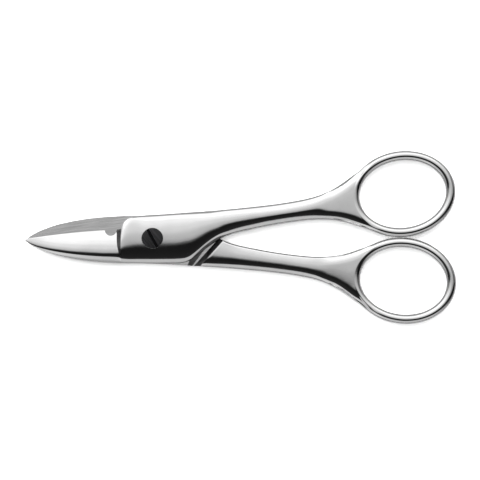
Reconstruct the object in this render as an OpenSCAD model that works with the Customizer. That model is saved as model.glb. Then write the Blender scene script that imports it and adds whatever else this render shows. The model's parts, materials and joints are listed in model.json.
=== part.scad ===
// Thread snips: all-steel scissors with two forged halves and one pivot screw.
// The two halves are the same forging, one turned over onto the other. Each has a
// blade, a half-thickness joint plate, a full-thickness shank and a finger bow.
// Frame: X from the blade tips to the bows, Y across, Z up, closed and lying flat.
// Origin: middle of the object's outline, on the surface that it lies on.

/* [Body] */
// Length from the blade tips to the ends of the bows
overall_l = 130; // [128:0.5:132]
// Thickness of the joint, the shanks and the bows
body_t = 4.8; // [4.4:0.1:5.6]
// Width of the rounded edge all round a half
edge_r = 1.35; // [1.2:0.05:1.35]
// Gap between the two flat inner faces
joint_gap = 0.06; // [0.04:0.01:0.1]

/* [Bows] */
// Length of the finger opening
bow_hole_l = 26.2; // [24:0.2:27]
// Width of the finger opening
bow_hole_w = 20.2; // [18:0.2:21]
// Width of the ring around the finger opening
bow_band = 2.9; // [2.8:0.1:3.2]
// Tilt of the oval bow, outer end turned away from the other bow
bow_tilt = 7.5; // [0:0.5:10]
// Room left between the two bows when the blades are closed
bow_gap = 0.1; // [0.06:0.02:0.3]

/* [Pivot] */
// Distance from the middle of the object forward to the pivot
pivot_back = 26.5; // [25:0.5:28]
// Offset of the pivot across the object
pivot_y = 0.35; // [0:0.05:0.5]
// Diameter of the screw head
head_d = 6.2; // [5.6:0.1:6.6]
// Height of the screw head
head_h = 1.1; // [0.9:0.1:1.3]
// Diameter of the smooth journal that the front half turns on
journal_d = 4; // [3.8:0.1:4.4]
// Diameter of the threaded end, at the thread's pitch line
thread_d = 3.4; // [3:0.1:3.6]
// Radial running clearance of the journal and of the head
run_clear = 0.03; // [0.02:0.01:0.05]
// Width of the screwdriver slot
slot_w = 0.85; // [0.6:0.05:1]
// Direction of the slot across the head
slot_turn = 62; // [0:1:180]

/* [Blades] */
// Slope of the ground face from the back of the blade to its edge
grind_a = 15; // [13:0.5:17]
// Thickness of the land left on the cutting edge
edge_land = 0.2; // [0.15:0.05:0.4]
// Radius of the wire notch beside the shoulder
notch_r = 1.8; // [1.4:0.1:2]

/* [Hidden] */

$fn = 40;
far = 40;
skin = 0.02;
edge_fn = 14;
half_t = body_t / 2;
tip_x = -overall_l / 2;
pivot_x = -pivot_back;

// Half length and half width of the bow's outer oval, and its centre
bow_a = bow_hole_l / 2 + bow_band;
bow_b = bow_hole_w / 2 + bow_band;
bow_reach_x = norm([bow_a * cos(bow_tilt), bow_b * sin(bow_tilt)]);
bow_reach_y = norm([bow_a * sin(bow_tilt), bow_b * cos(bow_tilt)]);
bow_x = overall_l / 2 - bow_reach_x;
bow_y = bow_reach_y + bow_gap / 2;

// Joint: the plate's straight side, and the wall where full thickness begins
plate_y = 7.25;
step_x = -10.3;
step_y = 4.2;
step_turn = -43;
step_lean = 23;

// Shoulder between the blade and the plate, and the plate's round corner
shoulder_x = -36.4;
corner_r = 3.3;
corner_x = shoulder_x + 0.4 + corner_r;
corner_y = 3.7;

// Cutting edge: where it meets the shoulder, and its direction
edge_y = 2.9;
edge_turn = 5.5;
notch_x = -39.1;

// Screw heights from the joint's middle: head seat, head top, slot depth, threaded end
seat_z = half_t - head_h - 0.15;
head_top = half_t - 0.1;
slot_deep = 0.6;
end_z = half_t - 0.1;

// Outer side of a half, from the joint plate along the shank to the top of the bow
outer_side = [[-33, 7.1], [-20, 7.8], [-8, 8.6], [4, 9.7], [12, 10.6], [18, 11.5],
              [24, 13], [28, 14.7], [32, 17.2], [36, 20.4], [40, 23], [44, 24.5]];
// Inner side, from the bow back along the shank and down across the joint
inner_side = [[46, 1.2], [42, 1.5], [38, 2.6], [34, 4.1], [30, 5.2], [26, 5.6],
              [20, 5.4], [12, 4.35], [4, 2.95], [-2, 1.6], [-5, 0.6], [-8, -1],
              [-11, -3.3], [-13.6, -5.6], [-15.2, -6.9], [-17.5, -7.3]];
// Back of the blade, from the plate to past the tip
back_side = [[-26, -plate_y], [-36, -7.15], [-43, -6.75], [-49, -6], [-55, -4.8],
             [-60, -3.05], [-63.4, -1.35], [tip_x, 0.3], [tip_x - 1, 2.4]];

// Cutting edge, from past the tip to the shoulder
edge_side = [[tip_x - 4, -0.8], [tip_x, 0.3], [-60, 1.2], [-52, 2.1], [-44, 2.7],
             [-40, edge_y], [shoulder_x, edge_y]];

// One point of a smooth curve through p1 and p2, for u from 0 to 1
function curve_point(p0, p1, p2, p3, u) =
    (2 * p1 + (p2 - p0) * u + (2 * p0 - 5 * p1 + 4 * p2 - p3) * u * u
     + (3 * p1 - p0 - 3 * p2 + p3) * u * u * u) / 2;

// Smooth curve through all of the points, with steps pieces between each two
function curve(points, steps = 2) = let (last = len(points) - 1) [
    for (i = [0 : last - 1], k = [0 : steps - 1])
        curve_point(points[max(i - 1, 0)], points[i], points[i + 1],
                    points[min(i + 2, last)], k / steps),
    points[last]
];

module oval(size_x, size_y) {
    scale([1, size_y / size_x]) circle(d = size_x);
}

// Flat outline of a half, with the blade's edge side still uncut
module half_outline() {
    difference() {
        union() {
            polygon(concat(curve(outer_side), curve(inner_side), curve(back_side),
                           [[tip_x - 1, plate_y]]));
            translate([bow_x, bow_y]) rotate(bow_tilt) oval(2 * bow_a, 2 * bow_b);
        }
        translate([bow_x, bow_y]) rotate(bow_tilt) oval(bow_hole_l, bow_hole_w);
    }
}

// Forged blank: the outline at full thickness, with an oval edge all round
module blank() {
    minkowski() {
        linear_extrude(skin, center = true) offset(delta = -edge_r) half_outline();
        scale([edge_r, edge_r, (half_t - skin / 2) / cos(180 / edge_fn)])
            sphere(r = 1, $fn = edge_fn);
    }
}

// Removes the other half's space: below the inner face, forward of the leaning step wall
module joint_cut() {
    intersection() {
        translate([-2 * far, -far, joint_gap / 2 - far]) cube([4 * far, 2 * far, far]);
        translate([step_x, step_y, 0]) rotate(step_turn) rotate([step_lean, 0, 0])
            translate([-far, -3 * far, -far]) cube([2 * far, 3 * far, 2 * far]);
    }
}

// Grinds the blade's outer face down from the plate to the cutting edge
module blade_grind() {
    intersection() {
        translate([shoulder_x - 2 * far, -far, 0]) cube([2 * far, 2 * far, far]);
        translate([notch_x, edge_y, joint_gap / 2 + edge_land])
            rotate(edge_turn) rotate([-grind_a, 0, 0])
            translate([-2 * far, -2 * far, 0]) cube([4 * far, 4 * far, far]);
    }
}

// Trims the blade's edge side: cutting edge, wire notch and the plate's round corner
module edge_trim() {
    translate([0, 0, -body_t]) linear_extrude(2 * body_t)
        polygon(concat(curve(edge_side),
            [for (a = [180 : -9 : 90]) [corner_x + corner_r * cos(a), corner_y + corner_r * sin(a)]],
            [[corner_x, 2 * plate_y], [tip_x - 4, 2 * plate_y]]));
    translate([notch_x, edge_y, -body_t]) cylinder(h = 2 * body_t, r = notch_r);
}

// One finished forging, without its pivot hole
module half() {
    difference() {
        blank();
        joint_cut();
        blade_grind();
        edge_trim();
    }
}

// A round bar on the pivot's axis
module pivot_bar(d, from, to) {
    translate([pivot_x, pivot_y, from]) cylinder(h = to - from, d = d);
}

// Upper half: runs on the screw's journal, its plate recessed for the head
module front_half() {
    color("silver") translate([0, 0, half_t]) difference() {
        half();
        pivot_bar(journal_d + 2 * run_clear, -body_t, body_t);
        pivot_bar(head_d + 2 * run_clear, seat_z, body_t);
    }
}

// Lower half: the same forging turned over, with the hole that the screw threads into
module rear_half() {
    color("gainsboro") translate([0, 0, half_t]) difference() {
        rotate([180, 0, 0]) half();
        pivot_bar(thread_d, -body_t, body_t);
    }
}

// Slotted pivot screw: head, smooth journal and threaded end, flush with both sides
module pivot_screw() {
    color("dimgray") translate([0, 0, half_t]) difference() {
        union() {
            pivot_bar(head_d, seat_z + run_clear, head_top);
            pivot_bar(journal_d, -joint_gap / 2, head_top - slot_deep);
            pivot_bar(thread_d, -end_z, head_top - slot_deep);
        }
        translate([pivot_x, pivot_y, head_top - slot_deep]) rotate(-slot_turn)
            translate([-head_d, -slot_w / 2, 0]) cube([2 * head_d, slot_w, head_h]);
    }
}

front_half();
rear_half();
pivot_screw();
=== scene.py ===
"""Thread snips: two crossed forged steel halves on one slotted pivot screw."""

import json
import math

import bmesh
import bpy
from mathutils import Matrix, Vector, kdtree


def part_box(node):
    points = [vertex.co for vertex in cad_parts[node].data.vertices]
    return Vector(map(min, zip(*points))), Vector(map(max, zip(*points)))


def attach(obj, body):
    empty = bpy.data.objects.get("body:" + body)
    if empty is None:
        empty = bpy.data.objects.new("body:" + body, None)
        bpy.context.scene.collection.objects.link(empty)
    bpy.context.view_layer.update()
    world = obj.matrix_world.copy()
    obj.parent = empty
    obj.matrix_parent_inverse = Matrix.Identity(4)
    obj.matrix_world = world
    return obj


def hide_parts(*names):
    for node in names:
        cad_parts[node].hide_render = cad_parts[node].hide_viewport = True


bl_info = {
    "name": "Thread Snips",
    "version": (1, 0, 0),
    "blender": (4, 5, 0),
    "location": "3D View > Sidebar > Snips",
    "description": "Builds forged steel thread snips around their packed frame",
    "category": "Add Mesh",
}

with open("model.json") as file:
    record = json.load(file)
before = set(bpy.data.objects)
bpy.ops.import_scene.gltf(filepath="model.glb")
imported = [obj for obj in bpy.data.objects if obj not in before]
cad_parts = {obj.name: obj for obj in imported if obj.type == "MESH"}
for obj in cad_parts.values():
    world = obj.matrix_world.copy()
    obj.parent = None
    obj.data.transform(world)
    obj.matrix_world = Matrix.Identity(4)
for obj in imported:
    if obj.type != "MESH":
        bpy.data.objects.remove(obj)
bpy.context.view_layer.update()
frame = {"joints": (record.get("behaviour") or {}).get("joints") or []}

# The drawing below is in millimetres, for snips 130 mm long. MM turns them into metres.
DRAWN_LENGTH = 130.0
HALF_LOW, HALF_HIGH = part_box("front_half")
SCREW_LOW, SCREW_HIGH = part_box("pivot_screw")
MM = (HALF_HIGH[0] - HALF_LOW[0]) / DRAWN_LENGTH
MID_Z = (HALF_LOW[2] + HALF_HIGH[2]) / 2
PIVOT = Vector(frame["joints"][0]["pos_m"])
HEAD_D = SCREW_HIGH[0] - SCREW_LOW[0]
TURNED_OVER = Matrix.Rotation(math.pi, 4, "X")
LIFTED = Matrix.Translation((0, 0, MID_Z))

# --- Drawing of one half, seen from the screw head's side, bow towards +Y ---

# Finger bow: centre, half sizes of the opening, tilt, and where the web joins the ring
BOW_CENTRE = (49.1, 13.1)
BOW_HOLE = (13.1, 10.1)
BOW_TILT = 7.5
RING_STEPS = 32
WEB_FROM = 140
WEB_STEPS = 8
# Places across the ring, from the hole to the outside, where its loops lie
RING_ACROSS = (-0.9, -0.5, 0.0, 0.5, 0.9)

# How far in from either side of a row its first three columns lie
COLUMN_GAPS = (0.22, 0.8, 1.8)

# Cross sections of the crowned outer face: crown, where its crest lies, then how far and
# how suddenly the outer edge and the inner edge roll down
WEB = (0.25, -0.2, 0.85, 7, 0.9, 8)
WEB_TAPER = (0.4, -0.2, 0.75, 5, 0.8, 6)
WEB_NECK = (0.85, -0.12, 0.3, 5, 0.3, 5)
SHANK = (1.22, 0.0, 0.17, 5, 0.17, 5)
NECK = (0.75, -0.1, 1.0, 5, 1.2, 5)
PLATE = (0.98, 0.0, 0.98, 5, 0.98, 5)
CORNER = (0.8, 0.0, 0.35, 5, 0.98, 5)
BACK_SHANK = (0.7, -0.06, 0.75, 5, 0.05, 5)
BACK_STEP = (0.5, -0.06, 0.75, 5, 0.0, 5)

# Web, shank and joint plate, one row each from the ring to the shoulder:
# outer x, y, inner x, y, bend towards the tips, crest height, section
BODY_ROWS = (
    (34.6, 19.2, 38.4, 2.6, 5.9, 2.05, WEB),
    (33.0, 17.95, 36.5, 3.2, 6.4, 2.08, WEB),
    (30.0, 15.8, 32.6, 4.6, 4.9, 2.10, WEB_TAPER),
    (27.0, 14.2, 28.6, 5.4, 3.1, 2.12, WEB_NECK),
    (24.0, 12.95, 24.6, 5.6, 1.5, 2.15, SHANK),
    (20.3, 11.95, 20.5, 5.45, 0.2, 2.18, SHANK),
    (15.0, 11.0, 15.0, 4.8, 0.0, 2.22, SHANK),
    (9.0, 10.2, 9.0, 3.9, 0.0, 2.26, SHANK),
    (3.5, 9.65, 4.0, 2.9, 0.0, 2.30, SHANK),
    (-1.0, 9.2, -0.5, 2.0, 0.0, 2.34, SHANK),
    (-5.0, 8.85, -3.8, 1.0, 0.0, 2.37, SHANK),
    (-8.5, 8.55, -6.2, -0.05, 0.0, 2.39, NECK),
    (-11.5, 8.35, -8.4, -1.35, 0.0, 2.40, NECK),
    (-14.3, 8.15, -10.9, -3.2, 0.0, 2.40, NECK),
    (-17.0, 7.95, -13.4, -5.3, 0.0, 2.40, NECK),
    (-19.5, 7.8, -15.7, -6.95, 0.0, 2.40, PLATE),
    (-22.0, 7.65, -18.4, -7.3, 0.0, 2.40, PLATE),
    (-25.5, 7.45, -24.0, -7.3, 0.0, 2.40, PLATE),
    (-29.0, 7.3, -28.8, -7.27, 0.0, 2.40, PLATE),
    (-32.3, 7.05, -32.2, -7.2, 0.0, 2.40, CORNER),
    (-34.5, 6.2, -34.2, -7.18, 0.0, 2.40, CORNER),
    (-35.6, 4.8, -35.4, -7.15, 0.0, 2.40, CORNER),
    (-35.95, 3.3, -36.2, -7.12, 0.0, 2.40, CORNER),
)

# Rows of the underside that differ from those above them, by their number there
BACK_ROWS = {
    4: (24.0, 12.95, 24.6, 5.6, 1.5, 2.15, BACK_SHANK),
    5: (20.3, 11.95, 20.5, 5.45, 0.2, 2.18, BACK_SHANK),
    6: (15.0, 11.0, 15.0, 4.8, 0.0, 2.22, BACK_SHANK),
    7: (9.0, 10.2, 9.0, 3.9, 0.0, 2.26, BACK_SHANK),
    8: (3.0, 9.6, 4.0, 2.9, 0.0, 2.30, BACK_SHANK),
    9: (-3.5, 9.0, -0.8, 1.9, 0.0, 2.34, BACK_SHANK),
    10: (-8.3, 8.57, -3.0, 1.25, 0.0, 2.38, BACK_STEP),
    11: (-12.3, 8.28, -5.1, 0.5, 0.0, 2.40, BACK_STEP),
    12: (-14.1, 8.16, -6.5, -0.2, 0.0, 2.40, PLATE),
    13: (-14.45, 8.14, -6.95, -0.5, 0.0, 2.40, PLATE),
    14: (-15.6, 8.04, -11.6, -3.8, 0.0, 2.40, PLATE),
}
STEP_TOP = 11
STEP_FOOT = 12
CORNER_FROM = 19
SHOULDER_COLUMNS = 6

# Blade, one row each from the shoulder to the tip: edge x, y, back x, y, crest height
BLADE_ROWS = (
    (-37.3, 2.95, -36.6, -7.1, 2.10),
    (-40.4, 2.92, -40.2, -6.95, 2.04),
    (-44.0, 2.72, -44.0, -6.65, 1.94),
    (-48.4, 2.42, -48.4, -6.1, 1.78),
    (-52.5, 2.03, -52.5, -5.35, 1.47),
    (-56.3, 1.63, -56.3, -4.4, 1.05),
    (-59.6, 1.22, -59.6, -3.25, 0.62),
    (-62.1, 0.9, -62.1, -2.1, 0.39),
    (-63.9, 0.6, -63.8, -1.1, 0.26),
    (-64.85, 0.36, -64.85, 0.0, 0.17),
)
# Columns across the blade from edge to back, and their heights from the edge land up
BLADE_ACROSS = (0.03, 0.15, 0.28, 0.41, 0.54, 0.66, 0.76, 0.84, 0.965)
BLADE_RISE = (0.07, 0.34, 0.62, 0.84, 0.96, 1.0, 0.965, 0.86, 0.26)
EDGE_LAND = 0.12
# How far the shoulder's wall leans out towards the tip at each column
SHOULDER_LEAN = (1.3, 1.35, 1.3, 1.2, 1.0, 0.65, 0.25, 0.15, 0.15)

# How the web's and the ring's edges roll down: depth, width and power
WEB_ROLL = (0.96, 3.0, 2.355)
RING_ROLL = (0.95, 1.45, 2.0)
# Height of the web before its crown and rolls
WEB_HEIGHT = 2.11
# Stretches along X: from the shank to the web, from the web's roll to the ring's, from the
# web's height to the ring's, and from the web to the free ring
SHANK_TO_WEB = (23.5, 28.5)
WEB_TO_RING_ROLL = (34.0, 40.5)
WEB_TO_RING_HEIGHT = (30, 38)
WEB_TO_FREE_RING = (40.5, 43)
# The rolls fade in over these distances from the outline and from the ring's middle line
EDGE_FADE = (0.12, 0.5)
RING_FADE = (0, 0.04)
RING_MIDDLE = (BOW_HOLE[0] + 1.45, BOW_HOLE[1] + 1.45)
# Part of the outline that the web is measured from, and how near the middle plane it lies
OUTLINE_X = (18, 46)
OUTLINE_Z = 0.06
# Slope of the line through the web that parts its upper from its lower side
WEB_AXIS_SLOPE = 0.15

JOINT_GAP = 0.06
NOTCH = (-39.1, 2.95)

# Pivot screw: head height, plain neck and threaded end
HEAD_H = 1.1
JOURNAL_D = 4.0
THREAD_D = 3.4
THREAD_PITCH = 0.5
THREAD_LAND = 0.1
THREAD_DEPTH = 0.2
END_CHAMFER = 0.15
BORE_CLEAR = 0.03
# Chamfer round the head's recess, height of the cone that cuts it, and how far each slot
# edge is rubbed bright
SEAT_CHAMFER = 0.08
SEAT_FLARE = 0.8
SLOT_WEAR = 0.12

# How far the cutters reach above and below the middle plane
CUT_REACH = 8

# Order of the finishes on a half and on the screw; a half's last finish is dark steel painted on
# its walls as shade
GROUND, WALL_SHADE = 1, 2
# The screw's last finish is near black, dull steel: painted shade in its slot
RUBBED, SLOT_SHADE = 1, 2

SMOOTHING = 3
SHARP_ANGLE = math.radians(22)


# --- Mesh helpers ---


def object_from(bm, name):
    """A new object that holds the finished bmesh."""
    mesh = bpy.data.meshes.new(name)
    bm.to_mesh(mesh)
    bm.free()
    made = bpy.data.objects.new(name, mesh)
    bpy.context.scene.collection.objects.link(made)
    return made


def apply_modifiers(piece):
    """Bakes a piece's modifiers into its own mesh."""
    graph = bpy.context.evaluated_depsgraph_get()
    baked = bpy.data.meshes.new_from_object(piece.evaluated_get(graph))
    piece.modifiers.clear()
    old = piece.data
    piece.data = baked
    bpy.data.meshes.remove(old)


def carve(piece, cutter, operation="DIFFERENCE"):
    """Cuts one object out of another for good, and drops the cutter."""
    cut = piece.modifiers.new("cut", "BOOLEAN")
    cut.object = cutter
    cut.operation = operation
    cut.solver = "EXACT"
    apply_modifiers(piece)
    bpy.data.objects.remove(cutter)


def shade(piece, sharp=SHARP_ANGLE):
    """Smooth shading, with edges over the sharp angle left crisp."""
    piece.data.shade_smooth()
    piece.data.set_sharp_from_angle(angle=sharp)


def extrude_chain(bm, chain, closed=False):
    """Extrudes a row of joined vertices, and returns the new row in the same order."""
    following = chain[1:] + chain[:1] if closed else chain[1:]
    edges = [bm.edges.get(pair) for pair in zip(chain, following)]
    made = bmesh.ops.extrude_edge_only(bm, edges=edges)["geom"]
    fresh = {item for item in made if isinstance(item, bmesh.types.BMVert)}
    return [next(edge.other_vert(vert) for edge in vert.link_edges
                 if edge.other_vert(vert) in fresh) for vert in chain]


def lathe(bm, profile, centre, steps=96):
    """Spins a half outline of (radius, height) points about an upright axis."""
    verts = [bm.verts.new((centre[0] + radius, centre[1], height))
             for radius, height in profile]
    edges = [bm.edges.new(pair) for pair in zip(verts, verts[1:])]
    bmesh.ops.spin(bm, geom=verts + edges, cent=(centre[0], centre[1], 0), axis=(0, 0, 1),
                   angle=math.tau, steps=steps, use_merge=True)
    bmesh.ops.remove_doubles(bm, verts=bm.verts, dist=1e-7)
    bmesh.ops.recalc_face_normals(bm, faces=bm.faces)


# --- One forged half ---


def ring_point(step, across, band):
    """Point on the finger ring, in drawing units; across runs from -1, hole, to 1, outside."""
    angle = math.radians(WEB_FROM + 360 / RING_STEPS * step)
    tilt = math.radians(BOW_TILT)
    # A smoothed ring of straight steps comes out smaller than its corners by this much
    fit = 3 / (2 + math.cos(math.tau / RING_STEPS))
    reach = band * (across + 1) / 2
    x = (BOW_HOLE[0] + reach) * fit * math.cos(angle)
    y = (BOW_HOLE[1] + reach) * fit * math.sin(angle)
    return (BOW_CENTRE[0] + x * math.cos(tilt) - y * math.sin(tilt),
            BOW_CENTRE[1] + x * math.sin(tilt) + y * math.cos(tilt))


def row_point(row, place, bend=0.0):
    """Point at a fraction of the way from a row's first end to its second."""
    x = row[0] + (row[2] - row[0]) * place - bend * 4 * place * (1 - place)
    y = row[1] + (row[3] - row[1]) * place
    return x, y


def column_place(row, number, index):
    """Fraction of the way across a body row; the columns gather at its two edges."""
    half_width = math.dist(row[:2], row[2:4]) / 2
    rank = min(index, WEB_STEPS - index)
    if rank < len(COLUMN_GAPS):
        across = 1 - COLUMN_GAPS[rank] / half_width
    else:
        across = (1 - COLUMN_GAPS[-1] / half_width) / 2 if rank < WEB_STEPS / 2 else 0.0
    gathered = (1 - across) / 2 if index < WEB_STEPS / 2 else (1 + across) / 2
    if number == 0 and 0 < index < WEB_STEPS:
        # The first row still follows the even steps of the ring
        return (gathered + index / WEB_STEPS) / 2
    return gathered


def crown_height(row, place):
    """Height of the crowned face above the middle plane."""
    crown, crest, outer, outer_power, inner, inner_power = row[6]
    across = 1 - 2 * place
    roll, power = (outer, outer_power) if across > 0 else (inner, inner_power)
    return row[5] - crown * (across - crest)**2 - roll * abs(across)**power


class Half:
    """The control cage of one half: its outer face, underside and the wall between."""

    def __init__(self, band, ring_height):
        self.bm = bmesh.new()
        self.crease = self.bm.edges.layers.float.new("crease_edge")
        self.pinned = self.bm.verts.layers.float.new("crease_vert")
        self.band = band
        self.ring_height = ring_height
        self.top = {}
        self.rim = {}
        self.under = {}

    def draw_outer_face(self):
        """Flat cage in plan: the ring's loops, then a row for each line of the drawing."""
        bm = self.bm
        loop = bmesh.ops.create_circle(bm, segments=RING_STEPS, radius=1)["verts"]
        for number, across in enumerate(RING_ACROSS):
            if number:
                loop = extrude_chain(bm, loop, closed=True)
            for step, vert in enumerate(loop):
                x, y = ring_point(step, across, self.band)
                height = self.ring_height * (1 - 0.49 * across**2)
                if 0 < step < WEB_STEPS and across > 0:
                    web = crown_height(BODY_ROWS[0], step / WEB_STEPS)
                    share = across / RING_ACROSS[-1]
                    height = self.ring_height + (web - self.ring_height) * share
                self.place(vert, x, y, height)
                rim = None
                if number == 0:
                    rim = ring_point(step, -1, self.band)
                elif number == len(RING_ACROSS) - 1 and not 0 < step < WEB_STEPS:
                    rim = ring_point(step, 1, self.band)
                self.top[vert] = ("ring", number, step, rim)
        row = loop[: WEB_STEPS + 1]
        for number, line in enumerate(BODY_ROWS):
            row = extrude_chain(bm, row)
            for index, vert in enumerate(row):
                spot = column_place(line, number, index)
                x, y = row_point(line, spot, line[4])
                self.place(vert, x, y, crown_height(line, spot))
                rim = {0: line[:2], WEB_STEPS: line[2:4]}.get(index)
                self.top[vert] = ("body", number, index, rim)
        shoulder = row
        for number, line in enumerate(BLADE_ROWS):
            row = extrude_chain(bm, row)
            for index, vert in enumerate(row):
                x, y = row_point(line, BLADE_ACROSS[index])
                height = EDGE_LAND + (line[4] - EDGE_LAND) * BLADE_RISE[index]
                if number == 0:
                    x = shoulder[index].co.x / MM - SHOULDER_LEAN[index]
                self.place(vert, x, y, height)
                rim = {0: line[:2], WEB_STEPS: line[2:4]}.get(index)
                if number == len(BLADE_ROWS) - 1 and rim is None:
                    rim = (line[0] - 0.1, y)
                self.top[vert] = ("blade", number, index, rim)

    def place(self, vert, x, y, height):
        vert.co = Vector((x, y, height)) * MM

    def close_body(self):
        """Gives the cage its underside and the wall round its outline and its bow."""
        bm = self.bm
        copied = bmesh.ops.duplicate(bm, geom=bm.verts[:] + bm.edges[:] + bm.faces[:])
        self.under = {vert: copied["vert_map"][vert] for vert in self.top}
        lower = [item for item in copied["geom"] if isinstance(item, bmesh.types.BMFace)]
        bmesh.ops.reverse_faces(bm, faces=lower)
        for vert in self.under.values():
            vert.co.z -= CUT_REACH * MM
        hole = {vert for vert, kind in self.top.items() if kind[:2] == ("ring", 0)}
        outline = [edge for edge in bm.edges if edge.is_boundary and edge.verts[0] in self.top]
        made = bmesh.ops.extrude_edge_only(bm, edges=outline)["geom"]
        fresh = {item for item in made if isinstance(item, bmesh.types.BMVert)}
        for vert in self.top:
            for edge in vert.link_edges:
                if edge.other_vert(vert) in fresh:
                    self.rim[vert] = edge.other_vert(vert)
        hole |= {self.rim[vert] for vert in hole} | {self.under[vert] for vert in hole}
        open_edges = [edge for edge in bm.edges if edge.is_boundary]
        for inside in (True, False):
            pair = [edge for edge in open_edges if (edge.verts[0] in hole) == inside]
            bmesh.ops.bridge_loops(bm, edges=pair)

    def in_joint(self, part, number):
        """Whether a row's underside lies on the flat inner face."""
        return part == "blade" or (part == "body" and number >= STEP_FOOT)

    def shape_underside(self):
        """Full thickness behind the step, and the flat inner face forward of it."""
        for vert, (part, number, index, rim) in self.top.items():
            below = self.under[vert]
            x, y, height = vert.co / MM
            if part == "body" and number in BACK_ROWS:
                line = BACK_ROWS[number]
                spot = column_place(line, number, index)
                x, y = row_point(line, spot, line[4])
                height = crown_height(line, spot)
                if rim:
                    own = line[:2] if index == 0 else line[2:4]
                    half_way = ((rim[0] + own[0]) / 2, (rim[1] + own[1]) / 2)
                    rim = own if self.in_joint(part, number) else half_way
            flat = self.in_joint(part, number)
            self.place(below, x, y, JOINT_GAP / 2 if flat else -height)
            if rim:
                self.place(self.rim[vert], *rim, JOINT_GAP / 2 if flat else 0)

    def mark_edges(self):
        """Crisp edges and finishes: the shoulder, the step and the flat inner face, with dark
        steel painted as shade on the shoulder and step walls and beside the step.
        """
        last, foot = len(BODY_ROWS) - 1, STEP_FOOT
        kinds = {}
        for vert, (part, number, index, _) in self.top.items():
            kinds[vert] = ("top", part, number, index)
            kinds[self.under[vert]] = ("under", part, number, index)
            if vert in self.rim:
                kinds[self.rim[vert]] = ("rim", part, number, index)
        for vert, (level, part, number, index) in kinds.items():
            if (level != "top" and part == "body" and number in (STEP_TOP, foot)
                    and index in (0, WEB_STEPS)):
                vert[self.pinned] = 1.0
        for edge in self.bm.edges:
            a, b = (kinds[vert] for vert in edge.verts)
            along = a[1:3] == b[1:3]
            if a[0] == b[0] == "rim" and self.in_joint(*a[1:3]) and self.in_joint(*b[1:3]):
                edge[self.crease] = 1.0
            elif a[0] == b[0] == "top" and along and a[1:3] in (("body", last), ("blade", 0)):
                edge[self.crease] = 1.0 if max(a[3], b[3]) <= SHOULDER_COLUMNS else 0.0
            elif "top" not in (a[0], b[0]) and along and a[1:3] == ("body", STEP_TOP):
                edge[self.crease] = 0.8
            elif "top" not in (a[0], b[0]) and along and a[1:3] == ("body", foot):
                edge[self.crease] = 1.0
            elif (a[0] == b[0] == "top" and a[3] == b[3] == 0 and a[1] == b[1] == "body"
                    and min(a[2], b[2]) >= CORNER_FROM):
                edge[self.crease] = 0.9
        for face in self.bm.faces:
            spots = [kinds[vert] for vert in face.verts]
            rows = {spot[1:3] for spot in spots}
            levels = {spot[0] for spot in spots}
            # The shoulder wall, the step walls and the inner face beside the step get the dark
            # steel: painted shade in these recesses
            beside_step = ({("body", STEP_TOP), ("body", foot)},
                           {("body", foot + 1), ("body", foot + 2)})
            if "under" not in levels and rows == {("body", last), ("blade", 0)}:
                if max(spot[3] for spot in spots) <= SHOULDER_COLUMNS:
                    face.material_index = WALL_SHADE
            elif "top" not in levels and rows in beside_step:
                face.material_index = WALL_SHADE
            elif "top" not in levels and all(self.in_joint(*row) for row in rows):
                face.material_index = GROUND


def fade(value, low, high):
    """Smooth step from 0 at low to 1 at high."""
    t = min(max((value - low) / (high - low), 0.0), 1.0)
    return t * t * (3 - 2 * t)


def above_axis(x, y):
    """Whether a point lies on the upper side of the line through the web."""
    return y > BOW_CENTRE[1] + WEB_AXIS_SLOPE * (x - BOW_CENTRE[0])


def off_ring(x, y):
    """How far a point lies outside the ring's middle line, as a share of its size."""
    tilt = math.radians(BOW_TILT)
    x, y = x - BOW_CENTRE[0], y - BOW_CENTRE[1]
    along = x * math.cos(tilt) + y * math.sin(tilt)
    up = y * math.cos(tilt) - x * math.sin(tilt)
    return math.hypot(along / RING_MIDDLE[0], up / RING_MIDDLE[1]) - 1


def outline_side(spots, upper):
    """One side of the web's outline: its points in order along X, and a tree to find them."""
    points = sorted((Vector(spot[:2]) for spot in spots
                     if abs(spot.z) < OUTLINE_Z and OUTLINE_X[0] < spot.x < OUTLINE_X[1]
                     and above_axis(spot.x, spot.y) == upper
                     and off_ring(spot.x, spot.y) > 0), key=lambda point: point.x)
    tree = kdtree.KDTree(len(points))
    for index, point in enumerate(points):
        tree.insert((point.x, point.y, 0), index)
    tree.balance()
    return points, tree


def edge_distance(points, tree, x, y):
    """Distance from a point to the line through an ordered row of points."""
    index = tree.find((x, y, 0))[1]
    spot = Vector((x, y))
    best = math.inf
    for a, b in zip(points[max(index - 1, 0): index + 1], points[index: index + 2]):
        if a is b:
            continue
        run = b - a
        t = min(max((spot - a).dot(run) / run.length_squared, 0.0), 1.0)
        best = min(best, (a + run * t - spot).length)
    return best


def web_height(x, gaps, ring_height):
    """Height of the web's face, from its distances to the upper and lower outline."""
    across = (gaps[1] - gaps[0]) / (gaps[1] + gaps[0])
    ringward = fade(x, *WEB_TO_RING_ROLL)
    height = WEB_HEIGHT + (ring_height - WEB_HEIGHT) * fade(x, *WEB_TO_RING_HEIGHT)
    height -= WEB[0] * (across - WEB[1])**2 * (1 - ringward)
    for gap in gaps:
        for (depth, width, power), share in ((WEB_ROLL, 1 - ringward), (RING_ROLL, ringward)):
            height -= share * depth * max(1 - gap / width, 0.0)**power
    return height


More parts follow.
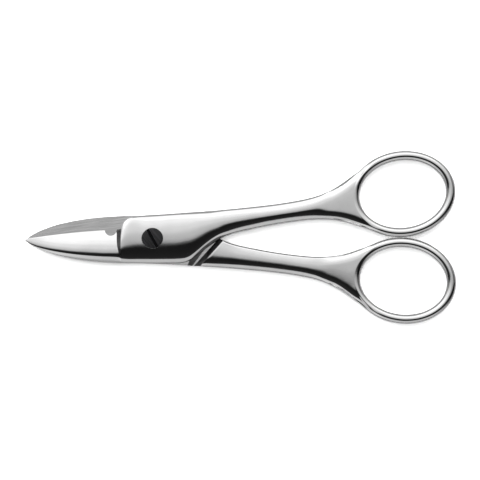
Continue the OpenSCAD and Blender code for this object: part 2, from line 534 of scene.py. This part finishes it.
def roll_web(mesh, ring_height):
    """Rolls the edges of the web down by their distance from its outline."""
    spots = [vert.co / MM for vert in mesh.vertices]
    sides = [outline_side(spots, upper) for upper in (True, False)]
    for vert, (x, y, z) in zip(mesh.vertices, spots):
        if not SHANK_TO_WEB[0] < x < WEB_TO_FREE_RING[1] or off_ring(x, y) < 0:
            continue
        gaps = [edge_distance(points, tree, x, y) for points, tree in sides]
        share = (fade(x, *SHANK_TO_WEB) * (1 - fade(x, *WEB_TO_FREE_RING))
                 * fade(min(gaps), *EDGE_FADE) * fade(off_ring(x, y), *RING_FADE))
        height = web_height(x, gaps, ring_height)
        vert.co.z += share * (math.copysign(height, z) - z) * MM


def make_half(band, ring_height):
    """One forging about the middle plane, as drawn, without its cuts."""
    half = Half(band, ring_height)
    half.draw_outer_face()
    half.close_body()
    half.shape_underside()
    half.mark_edges()
    bmesh.ops.recalc_face_normals(half.bm, faces=half.bm.faces)
    piece = object_from(half.bm, "forging")
    piece.data.materials.append(make_polished_steel())
    piece.data.materials.append(make_ground_steel())
    # Third finish: dark steel painted on the walls as shade
    piece.data.materials.append(make_wall_shade_steel())
    smooth = piece.modifiers.new("smooth", "SUBSURF")
    smooth.levels = smooth.render_levels = SMOOTHING
    apply_modifiers(piece)
    roll_web(piece.data, ring_height)
    return piece


def add_drum(bm, centre, radius, low, high, flare=0.0):
    """An upright round cutter, with a 45 degree cone of the flare's height on its top."""
    profile = [(0, low), (radius, low), (radius, high)]
    if flare:
        profile += [(radius + flare, high + flare)]
    profile += [(0, profile[-1][1])]
    lathe(bm, profile, centre)


# --- Finishes ---


def new_group(name, inputs, outputs):
    """A shader node group with plain number inputs, and its entry and exit nodes."""
    group = bpy.data.node_groups.new(name, "ShaderNodeTree")
    for label, value in inputs.items():
        group.interface.new_socket(label, in_out="INPUT",
                                   socket_type="NodeSocketFloat").default_value = value
    for label in outputs:
        group.interface.new_socket(label, in_out="OUTPUT", socket_type="NodeSocketFloat")
    return group, group.nodes.new("NodeGroupInput"), group.nodes.new("NodeGroupOutput")


def hairline_group():
    """Fine straight grinding lines along one direction of a piece."""
    name = "hairlines"
    if name in bpy.data.node_groups:
        return bpy.data.node_groups[name]
    group, entry, out = new_group(
        name, {"Turn": 0.0, "Spacing": 6000.0, "Stretch": 0.03}, ("Height", "Streaks"))
    nodes, links = group.nodes, group.links
    place = nodes.new("ShaderNodeTexCoord")
    turn = nodes.new("ShaderNodeCombineXYZ")
    links.new(entry.outputs["Turn"], turn.inputs["Z"])
    along = nodes.new("ShaderNodeMath")
    along.operation = "MULTIPLY"
    links.new(entry.outputs["Spacing"], along.inputs[0])
    links.new(entry.outputs["Stretch"], along.inputs[1])
    size = nodes.new("ShaderNodeCombineXYZ")
    links.new(along.outputs[0], size.inputs["X"])
    links.new(entry.outputs["Spacing"], size.inputs["Y"])
    links.new(entry.outputs["Spacing"], size.inputs["Z"])
    spun = nodes.new("ShaderNodeMapping")
    links.new(place.outputs["Object"], spun.inputs["Vector"])
    links.new(turn.outputs[0], spun.inputs["Rotation"])
    scaled = nodes.new("ShaderNodeVectorMath")
    scaled.operation = "MULTIPLY"
    links.new(spun.outputs[0], scaled.inputs[0])
    links.new(size.outputs[0], scaled.inputs[1])
    lines = nodes.new("ShaderNodeTexNoise")
    lines.inputs["Scale"].default_value = 1.0
    lines.inputs["Detail"].default_value = 3.0
    links.new(scaled.outputs[0], lines.inputs["Vector"])
    links.new(lines.outputs["Fac"], out.inputs["Height"])
    broad = nodes.new("ShaderNodeTexNoise")
    broad.inputs["Scale"].default_value = 0.16
    broad.inputs["Detail"].default_value = 2.0
    links.new(scaled.outputs[0], broad.inputs["Vector"])
    links.new(broad.outputs["Fac"], out.inputs["Streaks"])
    return group


def handling_group():
    """Faint smudges, hammer waviness and pin-prick pits of metal that has been used."""
    name = "handling"
    if name in bpy.data.node_groups:
        return bpy.data.node_groups[name]
    group, entry, out = new_group(
        name, {"Smudge size": 90.0, "Pit size": 2500.0}, ("Smudge", "Waves", "Grain", "Pits"))
    nodes, links = group.nodes, group.links
    place = nodes.new("ShaderNodeTexCoord")
    smudge = nodes.new("ShaderNodeTexNoise")
    smudge.inputs["Detail"].default_value = 5.0
    smudge.inputs["Roughness"].default_value = 0.6
    links.new(place.outputs["Object"], smudge.inputs["Vector"])
    links.new(entry.outputs["Smudge size"], smudge.inputs["Scale"])
    spread = nodes.new("ShaderNodeMapRange")
    spread.inputs["From Min"].default_value = 0.35
    spread.inputs["From Max"].default_value = 0.7
    links.new(smudge.outputs["Fac"], spread.inputs["Value"])
    links.new(spread.outputs["Result"], out.inputs["Smudge"])
    waves = nodes.new("ShaderNodeTexNoise")
    waves.inputs["Scale"].default_value = 160.0
    waves.inputs["Detail"].default_value = 1.0
    links.new(place.outputs["Object"], waves.inputs["Vector"])
    links.new(waves.outputs["Fac"], out.inputs["Waves"])
    grain = nodes.new("ShaderNodeTexNoise")
    grain.inputs["Scale"].default_value = 1300.0
    grain.inputs["Detail"].default_value = 3.0
    links.new(place.outputs["Object"], grain.inputs["Vector"])
    links.new(grain.outputs["Fac"], out.inputs["Grain"])
    pits = nodes.new("ShaderNodeTexVoronoi")
    links.new(place.outputs["Object"], pits.inputs["Vector"])
    links.new(entry.outputs["Pit size"], pits.inputs["Scale"])
    deep = nodes.new("ShaderNodeMapRange")
    deep.inputs["From Min"].default_value = 0.02
    deep.inputs["From Max"].default_value = 0.16
    links.new(pits.outputs["Distance"], deep.inputs["Value"])
    links.new(deep.outputs["Result"], out.inputs["Pits"])
    return group


def place_group(material, group, **values):
    """Puts a node group into a material with its own input values."""
    node = material.node_tree.nodes.new("ShaderNodeGroup")
    node.node_tree = group
    for label, value in values.items():
        node.inputs[label.replace("_", " ")].default_value = value
    return node


def blend_colours(material, mask, first, second):
    """A colour that runs from first to second with a mask."""
    mix = material.node_tree.nodes.new("ShaderNodeMix")
    mix.data_type = "RGBA"
    mix.inputs["A"].default_value = first
    mix.inputs["B"].default_value = second
    material.node_tree.links.new(mask, mix.inputs["Factor"])
    return mix.outputs["Result"]


def map_range(material, value, low, high, start=0.0, end=1.0):
    """A value mapped from start..end to low..high."""
    node = material.node_tree.nodes.new("ShaderNodeMapRange")
    node.inputs["From Min"].default_value = start
    node.inputs["From Max"].default_value = end
    node.inputs["To Min"].default_value = low
    node.inputs["To Max"].default_value = high
    material.node_tree.links.new(value, node.inputs["Value"])
    return node.outputs["Result"]


def bump(material, height, depth, normal=None):
    """A bump of the given depth in metres over an earlier one."""
    node = material.node_tree.nodes.new("ShaderNodeBump")
    node.inputs["Strength"].default_value = 1.0
    node.inputs["Distance"].default_value = depth
    material.node_tree.links.new(height, node.inputs["Height"])
    if normal is not None:
        material.node_tree.links.new(normal, node.inputs["Normal"])
    return node.outputs["Normal"]


def new_metal(name):
    """A metal material, with its tree ready for the surface detail."""
    material = bpy.data.materials.new(name)
    material.use_nodes = True
    shader = material.node_tree.nodes["Principled BSDF"]
    shader.inputs["Metallic"].default_value = 1.0
    return material, shader


def make_polished_steel():
    """Buffed forged steel: near mirror, with a soft waviness and thin polishing lines."""
    look = bpy.context.scene.snips_finish
    material, shader = new_metal("polished_steel")
    links = material.node_tree.links
    marks = place_group(material, handling_group(), Smudge_size=110.0, Pit_size=1400.0)
    lines = place_group(material, hairline_group(), Turn=0.35, Spacing=7000.0, Stretch=0.02)
    dull = tuple(0.93 * c for c in look.steel_colour[:3]) + (1,)
    links.new(blend_colours(material, marks.outputs["Smudge"], look.steel_colour, dull),
              shader.inputs["Base Color"])
    links.new(map_range(material, marks.outputs["Smudge"], look.polish, look.polish + 0.07),
              shader.inputs["Roughness"])
    normal = bump(material, marks.outputs["Waves"], 0.00006)
    normal = bump(material, marks.outputs["Grain"], 0.0000035, normal)
    normal = bump(material, lines.outputs["Height"], 0.0000012, normal)
    normal = bump(material, marks.outputs["Pits"], 0.000004, normal)
    links.new(normal, shader.inputs["Normal"])
    return material


def make_ground_steel():
    """Ground inner faces: satin steel with lines that run across the blades."""
    look = bpy.context.scene.snips_finish
    material, shader = new_metal("ground_steel")
    links = material.node_tree.links
    marks = place_group(material, handling_group(), Smudge_size=150.0, Pit_size=2600.0)
    lines = place_group(material, hairline_group(), Turn=-0.14, Spacing=2600.0, Stretch=0.05)
    fine = place_group(material, hairline_group(), Turn=-0.05, Spacing=9000.0, Stretch=0.02)
    streaks = map_range(material, lines.outputs["Height"], 0.0, 1.0, 0.32, 0.68)
    bright = tuple(min(1.0, 1.3 * c) for c in look.ground_colour[:3]) + (1,)
    links.new(blend_colours(material, streaks, look.ground_colour, bright),
              shader.inputs["Base Color"])
    links.new(map_range(material, marks.outputs["Smudge"], 0.2, 0.28),
              shader.inputs["Roughness"])
    normal = bump(material, fine.outputs["Height"], 0.000004)
    normal = bump(material, lines.outputs["Height"], 0.000005, normal)
    links.new(normal, shader.inputs["Normal"])
    return material


def make_wall_shade_steel():
    """Shoulder and step walls and the inner face beside the step: darker, rougher steel, painted
    shade for these recesses.
    """
    look = bpy.context.scene.snips_finish
    material, shader = new_metal("wall_shade_steel")
    links = material.node_tree.links
    marks = place_group(material, handling_group(), Smudge_size=380.0, Pit_size=2200.0)
    light = tuple(2.2 * c for c in look.wall_shade_colour[:3]) + (1,)
    links.new(blend_colours(material, marks.outputs["Smudge"], look.wall_shade_colour, light),
              shader.inputs["Base Color"])
    links.new(map_range(material, marks.outputs["Smudge"], 0.24, 0.4),
              shader.inputs["Roughness"])
    normal = bump(material, marks.outputs["Grain"], 0.00002)
    normal = bump(material, marks.outputs["Pits"], 0.00001, normal)
    links.new(normal, shader.inputs["Normal"])
    return material


def make_black_steel(name, wear_and_shade, metal, gloss):
    """Blackened screw steel: dark satin, with turning lines and patches rubbed lighter; the first
    level scales the black up for the rubbed slot edges and down for the painted shade in the slot.
    """
    look = bpy.context.scene.snips_finish
    material, shader = new_metal(name)
    dark = tuple(wear_and_shade * c for c in look.black_colour[:3]) + (1,)
    shader.inputs["Metallic"].default_value = metal
    shader.inputs["Specular IOR Level"].default_value = gloss
    links = material.node_tree.links
    marks = place_group(material, handling_group(), Smudge_size=420.0, Pit_size=4200.0)
    lines = place_group(material, hairline_group(), Turn=0.95, Spacing=9000.0, Stretch=0.12)
    rubbed = tuple(5.0 * c for c in dark[:3]) + (1,)
    worn = map_range(material, lines.outputs["Streaks"], 0.0, 1.0, 0.48, 0.75)
    links.new(blend_colours(material, worn, dark, rubbed),
              shader.inputs["Base Color"])
    links.new(map_range(material, lines.outputs["Streaks"], 0.22, 0.42, 0.3, 0.7),
              shader.inputs["Roughness"])
    normal = bump(material, lines.outputs["Height"], 0.000008)
    normal = bump(material, marks.outputs["Pits"], 0.000006, normal)
    links.new(normal, shader.inputs["Normal"])
    return material


# --- Light ---


def ramp(nodes, stops):
    """A colour ramp with grey stops of (place, level)."""
    node = nodes.new("ShaderNodeValToRGB")
    node.color_ramp.interpolation = "EASE"
    elements = node.color_ramp.elements
    while len(elements) > 1:
        elements.remove(elements[-1])
    for number, (spot, level) in enumerate(stops):
        element = elements[0] if number == 0 else elements.new(spot)
        element.position = spot
        element.color = (level, level, level, 1)
    return node


def direction_angle(tree, side, up):
    """Angle from one direction towards another, from -90 to 90 degrees, as 0 to 1."""
    angle = tree.nodes.new("ShaderNodeMath")
    angle.operation = "ARCTAN2"
    tree.links.new(side, angle.inputs[0])
    tree.links.new(up, angle.inputs[1])
    share = tree.nodes.new("ShaderNodeMapRange")
    share.inputs["From Min"].default_value = -math.pi / 2
    share.inputs["From Max"].default_value = math.pi / 2
    tree.links.new(angle.outputs[0], share.inputs["Value"])
    return share.outputs["Result"]


# Studio light by angle from straight up, in degrees: towards the bows' +Y side, then along X
LIGHT_ACROSS = ((-90, 0.62), (-53, 0.62), (-47, 0.02), (-12.5, 0.01), (-8.5, 0.09),
                (-4.5, 0.43), (0, 0.58), (16, 0.84), (34, 1.12), (48, 1.38), (70, 1.25),
                (78, 0.8), (85, 0.2), (90, 0.12))
LIGHT_ALONG = ((-90, 0.03), (-79, 0.13), (-55, 0.85), (-24, 1.3), (0, 1.0), (24, 0.98),
               (42, 0.64), (58, 0.2), (70, 0.08), (90, 0.02))
# Level that a ramp's white stands for
LIGHT_TOP = 1.5


def light_studio(strength):
    """Soft studio light: a bright wall to one side, a dark gap and a low card facing it."""
    world = bpy.data.worlds.new("studio")
    bpy.context.scene.world = world
    world.use_nodes = True
    tree = world.node_tree
    place = tree.nodes.new("ShaderNodeTexCoord")
    split = tree.nodes.new("ShaderNodeSeparateXYZ")
    tree.links.new(place.outputs["Generated"], split.inputs[0])
    x, y, z = (split.outputs[axis] for axis in "XYZ")
    across = ramp(tree.nodes, [((a + 90) / 180, level / LIGHT_TOP) for a, level in LIGHT_ACROSS])
    tree.links.new(direction_angle(tree, y, z), across.inputs["Fac"])
    square = tree.nodes.new("ShaderNodeVectorMath")
    square.operation = "LENGTH"
    flat = tree.nodes.new("ShaderNodeCombineXYZ")
    tree.links.new(y, flat.inputs["Y"])
    tree.links.new(z, flat.inputs["Z"])
    tree.links.new(flat.outputs[0], square.inputs[0])
    along = ramp(tree.nodes, [((a + 90) / 180, level / LIGHT_TOP) for a, level in LIGHT_ALONG])
    tree.links.new(direction_angle(tree, x, square.outputs["Value"]), along.inputs["Fac"])
    both = tree.nodes.new("ShaderNodeVectorMath")
    both.operation = "MULTIPLY"
    tree.links.new(across.outputs["Color"], both.inputs[0])
    tree.links.new(along.outputs["Color"], both.inputs[1])
    back = tree.nodes["Background"]
    back.inputs["Strength"].default_value = strength * LIGHT_TOP * LIGHT_TOP
    tree.links.new(both.outputs[0], back.inputs["Color"])


# --- Settings ---


class SnipsForging(bpy.types.PropertyGroup):
    bow_band: bpy.props.FloatProperty(
        name="Bow band", description="Width of the finger ring's metal, in drawing millimetres",
        default=2.9, min=2.4, max=3.6)
    bow_height: bpy.props.FloatProperty(
        name="Bow height", description="Half the ring's thickness, in drawing millimetres",
        default=1.95, min=1.5, max=2.4)
    notch_radius: bpy.props.FloatProperty(
        name="Notch radius", description="Scallop at the blade's heel, in drawing millimetres",
        default=1.8, min=1.0, max=2.2)


class SnipsScrew(bpy.types.PropertyGroup):
    slot_width: bpy.props.FloatProperty(
        name="Slot width", description="Width of the driver slot", default=0.85 * MM,
        subtype="DISTANCE", unit="LENGTH")
    slot_depth: bpy.props.FloatProperty(
        name="Slot depth", description="Depth of the driver slot", default=0.6 * MM,
        subtype="DISTANCE", unit="LENGTH")
    slot_turn: bpy.props.FloatProperty(
        name="Slot turn", description="Direction of the slot from the +X axis",
        default=math.radians(-62), subtype="ANGLE", unit="ROTATION")


class SnipsFinish(bpy.types.PropertyGroup):
    steel_colour: bpy.props.FloatVectorProperty(
        name="Polished steel", description="Colour of the polished steel", subtype="COLOR",
        size=4, default=(0.80, 0.80, 0.80, 1.0), min=0.0, max=1.0)
    ground_colour: bpy.props.FloatVectorProperty(
        name="Ground steel", description="Colour of the ground inner faces", subtype="COLOR",
        size=4, default=(0.60, 0.60, 0.60, 1.0), min=0.0, max=1.0)
    # Dark colour painted on the shoulder and step walls as shade
    wall_shade_colour: bpy.props.FloatVectorProperty(
        name="Painted wall shade", description="Dark colour painted on the walls as shade", subtype="COLOR",
        size=4, default=(0.07, 0.07, 0.07, 1.0), min=0.0, max=1.0)
    black_colour: bpy.props.FloatVectorProperty(
        name="Blackened steel", description="Colour of the screw", subtype="COLOR",
        size=4, default=(0.008, 0.008, 0.009, 1.0), min=0.0, max=1.0)
    polish: bpy.props.FloatProperty(
        name="Polish", description="Roughness of the polished steel, 0 for a mirror",
        default=0.06, min=0.0, max=1.0, subtype="FACTOR")


class SnipsStage(bpy.types.PropertyGroup):
    light: bpy.props.FloatProperty(
        name="Light", description="Strength of the studio light", default=1.0, min=0.0)
    paper_glow: bpy.props.FloatProperty(
        name="Paper glow", description="How far the floor paper is lit from behind",
        default=0.18, min=0.0)
    paper_gain: bpy.props.FloatProperty(
        name="Paper gain", description="How far the paper is over-lit when looked at",
        default=3.0, min=0.0)
    paper_colour: bpy.props.FloatVectorProperty(
        name="Paper", description="Colour of the paper in reflections", subtype="COLOR",
        size=4, default=(0.75, 0.75, 0.75, 1.0), min=0.0, max=1.0)
    view_width: bpy.props.FloatProperty(
        name="View width", description="Width of the picture at the snips",
        default=144.9 * MM, subtype="DISTANCE", unit="LENGTH")
    view_turn: bpy.props.FloatProperty(
        name="View turn", description="Roll of the camera", default=math.radians(-0.47),
        subtype="ANGLE", unit="ROTATION")


# Long lens, its sensor and where it looks down on the snips
LONG_LENS = 200
SENSOR = 36
VIEW_CENTRE = (-0.12, -0.42)


# --- Operators ---


class SNIPS_OT_halves(bpy.types.Operator):
    """Forge the front half, and the same forging turned over as the rear half"""
    bl_idname = "snips.halves"
    bl_label = "Forged halves"

    def execute(self, context):
        shape = context.scene.snips_forging
        front = make_half(shape.bow_band, shape.bow_height)
        bm = bmesh.new()
        add_drum(bm, [c * MM for c in NOTCH], shape.notch_radius * MM,
                 -CUT_REACH * MM, CUT_REACH * MM)
        carve(front, object_from(bm, "notch_cutter"))
        rear = front.copy()
        rear.data = front.data.copy()
        context.scene.collection.objects.link(rear)
        rear.data.transform(TURNED_OVER)
        for piece, name, body, node in ((front, "snips_front_forging", "front_body", "front_half"),
                                        (rear, "snips_rear_forging", "rear_body", "rear_half")):
            piece.data.transform(LIFTED)
            piece.name = piece.data.name = name
            bm = bmesh.new()
            if piece is front:
                add_drum(bm, PIVOT, (JOURNAL_D / 2 + BORE_CLEAR) * MM,
                         -CUT_REACH * MM, CUT_REACH * MM)
                carve(piece, object_from(bm, "bore_cutter"))
                bm = bmesh.new()
                add_drum(bm, PIVOT, HEAD_D / 2 + BORE_CLEAR * MM, SCREW_HIGH[2] - HEAD_H * MM,
                         SCREW_HIGH[2] - SEAT_CHAMFER * MM, SEAT_FLARE * MM)
            else:
                add_drum(bm, PIVOT, (THREAD_D / 2 + BORE_CLEAR) * MM,
                         -CUT_REACH * MM, CUT_REACH * MM)
            carve(piece, object_from(bm, "seat_cutter"))
            shade(piece)
            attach(piece, body)
            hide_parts(node)
        return {"FINISHED"}


class SNIPS_OT_screw(bpy.types.Operator):
    """Turn the slotted pivot screw, from its head down to its threaded end"""
    bl_idname = "snips.screw"
    bl_label = "Pivot screw"

    def execute(self, context):
        shape = context.scene.snips_screw
        top, low = SCREW_HIGH[2], SCREW_LOW[2]
        seat = top - HEAD_H * MM
        rim, neck, core = HEAD_D / 2, JOURNAL_D / 2 * MM, THREAD_D / 2 * MM
        profile = [(0, top), (rim - 0.35 * MM, top), (rim - 0.17 * MM, top - 0.03 * MM),
                   (rim - 0.05 * MM, top - 0.11 * MM), (rim, top - 0.26 * MM),
                   (rim, seat + 0.08 * MM), (rim - 0.08 * MM, seat), (neck, seat),
                   (neck, MID_Z)]
        depth = MID_Z
        while depth - THREAD_PITCH * MM > low + THREAD_DEPTH * MM:
            profile += [(core, depth - THREAD_LAND * MM),
                        (core - THREAD_DEPTH * MM, depth - (THREAD_LAND + THREAD_PITCH / 2) * MM)]
            depth -= THREAD_PITCH * MM
        profile += [(core, depth - THREAD_LAND * MM), (core, low + END_CHAMFER * MM),
                    (core - END_CHAMFER * MM, low), (0, low)]
        bm = bmesh.new()
        lathe(bm, profile, PIVOT)
        screw = object_from(bm, "snips_pivot_screw")
        bm = bmesh.new()
        bmesh.ops.create_cube(bm, size=1)
        bmesh.ops.scale(bm, vec=(3 * HEAD_D, shape.slot_width, 2 * shape.slot_depth),
                        verts=bm.verts)
        bmesh.ops.rotate(bm, cent=(0, 0, 0), verts=bm.verts,
                         matrix=Matrix.Rotation(shape.slot_turn, 3, "Z"))
        bmesh.ops.translate(bm, vec=(PIVOT[0], PIVOT[1], top), verts=bm.verts)
        screw.data.materials.append(make_black_steel("blackened_steel", 1.0, 0.0, 0.5))
        screw.data.materials.append(make_black_steel("rubbed_steel", 14.0, 1.0, 0.5))
        # Near black, dull steel for the slot's faces: painted shade in its hollow
        screw.data.materials.append(make_black_steel("slot_painted_shade", 0.3, 0.0, 0.1))
        for face in bm.faces:
            face.material_index = SLOT_SHADE
        carve(screw, object_from(bm, "slot_cutter"))
        bm = bmesh.new()
        bmesh.ops.create_cube(bm, size=1)
        bmesh.ops.rotate(bm, cent=(0, 0, 0), verts=bm.verts,
                         matrix=Matrix.Rotation(math.radians(45), 3, "X"))
        worn = (shape.slot_width + 2 * SLOT_WEAR * MM) / math.sqrt(2)
        bmesh.ops.scale(bm, vec=(3 * HEAD_D, worn, worn), verts=bm.verts)
        bmesh.ops.rotate(bm, cent=(0, 0, 0), verts=bm.verts,
                         matrix=Matrix.Rotation(shape.slot_turn, 3, "Z"))
        bmesh.ops.translate(bm, vec=(PIVOT[0], PIVOT[1], top), verts=bm.verts)
        for face in bm.faces:
            face.material_index = RUBBED
        carve(screw, object_from(bm, "chamfer_cutter"))
        shade(screw)
        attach(screw, "rear_body")
        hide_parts("pivot_screw")
        return {"FINISHED"}


class SNIPS_OT_stage(bpy.types.Operator):
    """Lay the pale floor, light it softly and look straight down on the snips"""
    bl_idname = "snips.stage"
    bl_label = "Floor, light and camera"

    def execute(self, context):
        scene, stage = context.scene, context.scene.snips_stage
        bm = bmesh.new()
        bmesh.ops.create_grid(bm, x_segments=1, y_segments=1, size=3.0)
        floor = object_from(bm, "floor")
        paper = bpy.data.materials.new("white_paper")
        paper.use_nodes = True
        # Looked at directly the paper is over-lit to plain white, with shadows only close
        # under the steel; in reflections it stays an ordinary pale sheet
        tree = paper.node_tree
        tree.nodes.remove(tree.nodes["Principled BSDF"])
        path = tree.nodes.new("ShaderNodeLightPath")
        seen = tree.nodes.new("ShaderNodeBsdfDiffuse")
        seen.inputs["Color"].default_value = (stage.paper_gain,) * 3 + (1,)
        glow = tree.nodes.new("ShaderNodeEmission")
        glow.inputs["Strength"].default_value = stage.paper_glow
        lit = tree.nodes.new("ShaderNodeAddShader")
        tree.links.new(seen.outputs[0], lit.inputs[0])
        tree.links.new(glow.outputs[0], lit.inputs[1])
        sheet = tree.nodes.new("ShaderNodeBsdfDiffuse")
        sheet.inputs["Color"].default_value = stage.paper_colour
        pick = tree.nodes.new("ShaderNodeMixShader")
        tree.links.new(path.outputs["Is Camera Ray"], pick.inputs["Fac"])
        tree.links.new(sheet.outputs[0], pick.inputs[1])
        tree.links.new(lit.outputs[0], pick.inputs[2])
        tree.links.new(pick.outputs[0], tree.nodes["Material Output"].inputs["Surface"])
        floor.data.materials.append(paper)
        light_studio(stage.light)
        lens = bpy.data.cameras.new("camera")
        lens.lens = LONG_LENS
        lens.sensor_width = SENSOR
        lens.clip_end = 20
        eye = bpy.data.objects.new("camera", lens)
        scene.collection.objects.link(eye)
        rise = stage.view_width * lens.lens / lens.sensor_width
        eye.location = (VIEW_CENTRE[0] * MM, VIEW_CENTRE[1] * MM, MID_Z + rise)
        eye.rotation_euler = (0, 0, stage.view_turn)
        scene.camera = eye
        scene.view_settings.view_transform = "Standard"
        return {"FINISHED"}


class SNIPS_PT_sidebar(bpy.types.Panel):
    bl_idname = "SNIPS_PT_sidebar"
    bl_label = "Thread snips"
    bl_space_type = "VIEW_3D"
    bl_region_type = "UI"
    bl_category = "Snips"

    def draw(self, context):
        for settings, operator in (("snips_forging", "snips.halves"),
                                   ("snips_finish", None),
                                   ("snips_screw", "snips.screw"),
                                   ("snips_stage", "snips.stage")):
            box = self.layout.box()
            group = getattr(context.scene, settings)
            for label in group.__annotations__:
                box.prop(group, label)
            if operator:
                box.operator(operator)


CLASSES = (SnipsForging, SnipsScrew, SnipsFinish, SnipsStage,
           SNIPS_OT_halves, SNIPS_OT_screw, SNIPS_OT_stage, SNIPS_PT_sidebar)
SETTINGS = {"snips_forging": SnipsForging, "snips_screw": SnipsScrew,
            "snips_finish": SnipsFinish, "snips_stage": SnipsStage}


def register():
    for cls in CLASSES:
        bpy.utils.register_class(cls)
    for label, group in SETTINGS.items():
        setattr(bpy.types.Scene, label, bpy.props.PointerProperty(type=group))


def unregister():
    for label in SETTINGS:
        delattr(bpy.types.Scene, label)
    for cls in reversed(CLASSES):
        bpy.utils.unregister_class(cls)


def main():
    register()
    bpy.ops.snips.stage()
    bpy.ops.snips.halves()
    bpy.ops.snips.screw()


if __name__ == "__main__":
    main()
